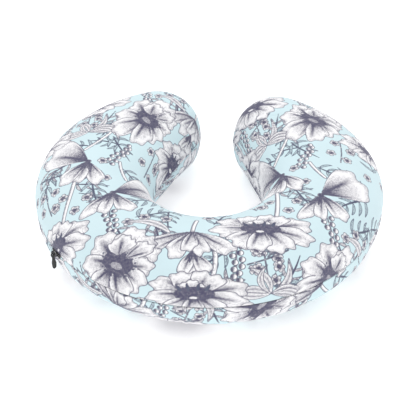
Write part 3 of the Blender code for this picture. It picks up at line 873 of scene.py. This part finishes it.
def spun_thread():
    """Two-ply sewing thread: a fine twist with fuzz."""
    nodes = Nodes("spun_thread", Roughness=0.7, Sheen_Weight=0.2)
    place = nodes.add("TexCoord", output="Object")
    twist = nodes.add("TexWave", {"Vector": place, "Scale": 500.0, "Distortion": 2.0}, output=1)
    fuzz = nodes.noise(place, 1500.0)
    colour = nodes.mix(nodes.math("MULTIPLY", fuzz, 0.5), THREAD_BLUE, PETAL_SHADE)
    return nodes.finish(colour, nodes.bump(twist, 0.06 * MM))


def bonded_casing():
    """Non-woven casing: matted fibres pressed by a grid of small bonds."""
    nodes = Nodes("bonded_casing", Roughness=0.95, Sheen_Weight=0.1)
    place = nodes.add("TexCoord", output="Object")
    bonds = nodes.step(nodes.add("TexVoronoi", {"Vector": place, "Scale": 600.0}), 0.2, 0.5)
    fibres = nodes.noise(place, 700.0, 6.0, 0.8)
    colour = nodes.mix(nodes.math("MULTIPLY", fibres, 0.35), CASING_WHITE, PETAL_SHADE)
    height = nodes.math("ADD", bonds, nodes.math("MULTIPLY", fibres, 0.5))
    return nodes.finish(colour, nodes.bump(height, 0.12 * MM))


def loose_fibre():
    """Stuffing: tangled white fibres in soft lumps."""
    nodes = Nodes("loose_fibre", Roughness=1.0, Sheen_Weight=0.3)
    place = nodes.add("TexCoord", output="Object")
    lumps = nodes.noise(place, 60.0, 6.0, 0.7)
    strands = nodes.noise(place, 900.0, 8.0, 0.85)
    colour = nodes.mix(nodes.math("MULTIPLY", strands, 0.4), FIBRE_WHITE, PETAL_SHADE)
    return nodes.finish(colour, nodes.bump(strands, 0.4 * MM, 1.0, nodes.bump(lumps, 2 * MM)))


def nylon_coil():
    """Nylon coil in the cloth's colour: turns side by side along the zip."""
    nodes = Nodes("nylon_coil", Roughness=0.38)
    place = nodes.add("TexCoord", output="Object")
    turns = nodes.add("TexWave", {"Vector": place, "Scale": 210.0}, output=1, bands_direction="X")
    worn = nodes.math("MULTIPLY", nodes.noise(place, 500.0), 0.3)
    colour = nodes.mix(worn, COIL_BLUE, COIL_SHADE)
    return nodes.finish(colour, nodes.bump(turns, 0.3 * MM))


def black_enamel():
    """Black enamel over cast zinc: slightly uneven, rubbed a little along its edges."""
    nodes = Nodes("black_enamel", Roughness=0.34, Coat_Weight=0.25, Coat_Roughness=0.2)
    place = nodes.add("TexCoord", output="Object")
    raised = nodes.step(nodes.add("NewGeometry", output="Pointiness"), 0.53, 0.62)
    patchy = nodes.step(nodes.noise(place, 900.0), 0.45, 0.7)
    rubbed = nodes.math("MULTIPLY", nodes.math("MULTIPLY", raised, patchy), 0.35)
    colour = nodes.mix(rubbed, ENAMEL, RUBBED_METAL)
    return nodes.finish(colour, nodes.bump(nodes.noise(place, 420.0), 0.03 * MM))


def dress(node, material):
    """Gives a carried-over CAD node its material."""
    node.data.materials.clear()
    node.data.materials.append(material)


# ---------------------------------------------------------------- pieces


def cloth_size(made, cloth):
    """Width, length and area of a panel as cut, from where its points lie in the flat cloth."""
    made.data.calc_loop_triangles()
    corners = np.empty(len(made.data.loop_triangles) * 3, np.int32)
    made.data.loop_triangles.foreach_get("vertices", corners)
    first, second, third = cloth[corners.reshape(-1, 3)].transpose(1, 2, 0)
    one, other = second - first, third - first
    area = np.abs(one[0] * other[1] - one[1] * other[0]).sum() / 2
    return tuple(np.ptp(cloth, 0).tolist()), float(area)


def sew(name, node, slot, material, up, swell, **sizes):
    made, cloth, spread = panel(name, up, swell, **sizes)
    made.data.materials.append(material)
    flat, area = cloth_size(made, cloth)
    lay_out(made, spread)
    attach(made, "pillow")
    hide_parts(node)
    return made, cloth


def on_print(cloth):
    """Where points of the flat cloth lie in the print."""
    c, s = math.cos(PRINT_TURN), math.sin(PRINT_TURN)
    x, y = (cloth @ [[c, -s], [s, c]]).T
    return np.stack([x * (1 + ARMS_DRAWN * y), y], -1)


def make_cover(swell):
    material = printed_cloth()
    sizes = dict(spacing=COVER_SPACING, side=0, depth=0, slotted=True)
    for name, up in (("top", 1), ("bottom", -1)):
        made, cloth = sew(
            f"cover_{name}_printed", f"cover_{name}_panel", "cover_print", material, up, swell, **sizes
        )
        cloth = cloth + PANEL_SHIFTS[up]
        drawing = draw(on_print(cloth))
        store(made.data, "line_a", drawing.lines[0])
        store(made.data, "line_b", drawing.lines[1])
        for field in ("white", "shade", "hatch"):
            store(made.data, field, getattr(drawing, field))
        place = np.concatenate([cloth, np.zeros((len(cloth), 1))], 1).astype(np.float32)
        made.data.attributes.new("cloth", "FLOAT_VECTOR", "POINT").data.foreach_set("vector", place.ravel())


def make_cushion(swell):
    casing = bonded_casing()
    sizes = dict(spacing=CASING_SPACING, side=CASING_SIDE, depth=CASING_DEPTH, slotted=False)
    for name, up in (("top", 1), ("bottom", -1)):
        sew(f"casing_{name}_cloth", f"casing_{name}_panel", "casing", casing, up, swell, **sizes)
    stations = Outline(CASING_SPACING)
    flat, rise, reach = profile(CASING_SPACING)
    halves = []
    for up in (1, -1):
        half = skin(stations, flat, rise, up, FILL_SIDE, FILL_DEPTH) + swell.at(stations, reach, up)
        half[..., 2] = np.maximum(half[..., 2], FILL_DEPTH)
        halves.append(half)
    halves[0][0] = (halves[0][0] + halves[1][0]) / 2
    made, _ = grid_mesh("fibre_stuffing", np.concatenate([halves[0][::-1], halves[1][1:]]), -1)
    made.data.materials.append(loose_fibre())
    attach(made, "pillow")
    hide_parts("fibre_fill")


def dress_sewing_and_zip():
    nodes = frame["nodes"]
    thread = spun_thread()
    tape = woven_tape()
    coil = nylon_coil()
    enamel = black_enamel()
    for name in nodes:
        if "thread" in name or "stitching" in name:
            dress(nodes[name], thread)
        elif name.startswith("zip_tape"):
            dress(nodes[name], tape)
        elif name.startswith("zip_coil"):
            dress(nodes[name], coil)
        elif "stop" in name or name in ("slider_body", "pull_tab"):
            dress(nodes[name], enamel)


# ---------------------------------------------------------------- studio


def make_camera():
    data = bpy.data.cameras.new("camera")
    data.lens = LENS
    data.sensor_width = SENSOR
    made = bpy.data.objects.new("camera", data)
    bpy.context.scene.collection.objects.link(made)
    level = math.cos(ELEVATION)
    back = Vector((math.sin(AZIMUTH) * level, -math.cos(AZIMUTH) * level, math.sin(ELEVATION)))
    made.location = AIM + back * DISTANCE
    made.rotation_euler = (-back).to_track_quat("-Z", "Y").to_euler()
    bpy.context.scene.camera = made


def make_floor():
    nodes = Nodes("white_floor", Roughness=0.9, Emission_Strength=FLOOR_GLOW)
    place = nodes.add("TexCoord", output="Object")
    tone = nodes.step(nodes.noise(place, 3.0), 0.3, 0.7)
    colour = nodes.mix(tone, (0.96, 0.96, 0.96, 1), (0.97, 0.97, 0.97, 1))
    material = nodes.finish(colour, nodes.bump(nodes.noise(place, 300.0), 0.02 * MM))
    mesh = bpy.data.meshes.new("floor")
    signs = ((-1, -1), (1, -1), (1, 1), (-1, 1))
    corners = [(FLOOR_HALF * x, FLOOR_HALF * y, -FLOOR_DROP) for x, y in signs]
    mesh.from_pydata(corners, [], [(0, 1, 2, 3)])
    mesh.materials.append(material)
    made = bpy.data.objects.new("floor", mesh)
    bpy.context.scene.collection.objects.link(made)


def make_light(name, place, size, power):
    data = bpy.data.lights.new(name, "AREA")
    data.size = size
    data.energy = power
    made = bpy.data.objects.new(name, data)
    made.location = place
    made.rotation_euler = (AIM - Vector(place)).to_track_quat("-Z", "Y").to_euler()
    bpy.context.scene.collection.objects.link(made)


def make_studio():
    make_camera()
    make_floor()
    world = bpy.data.worlds.new("studio")
    world.use_nodes = True
    background = world.node_tree.nodes["Background"]
    background.inputs["Color"].default_value = (1, 1, 1, 1)
    background.inputs["Strength"].default_value = SKY_STRENGTH
    bpy.context.scene.world = world
    bpy.context.scene.view_settings.view_transform = "Standard"
    for name, (place, size, power) in LIGHTS.items():
        make_light(name, place, size, power)


def main():
    make_studio()
    swell = Swell()
    make_cover(swell)
    make_cushion(swell)
    dress_sewing_and_zip()


main()
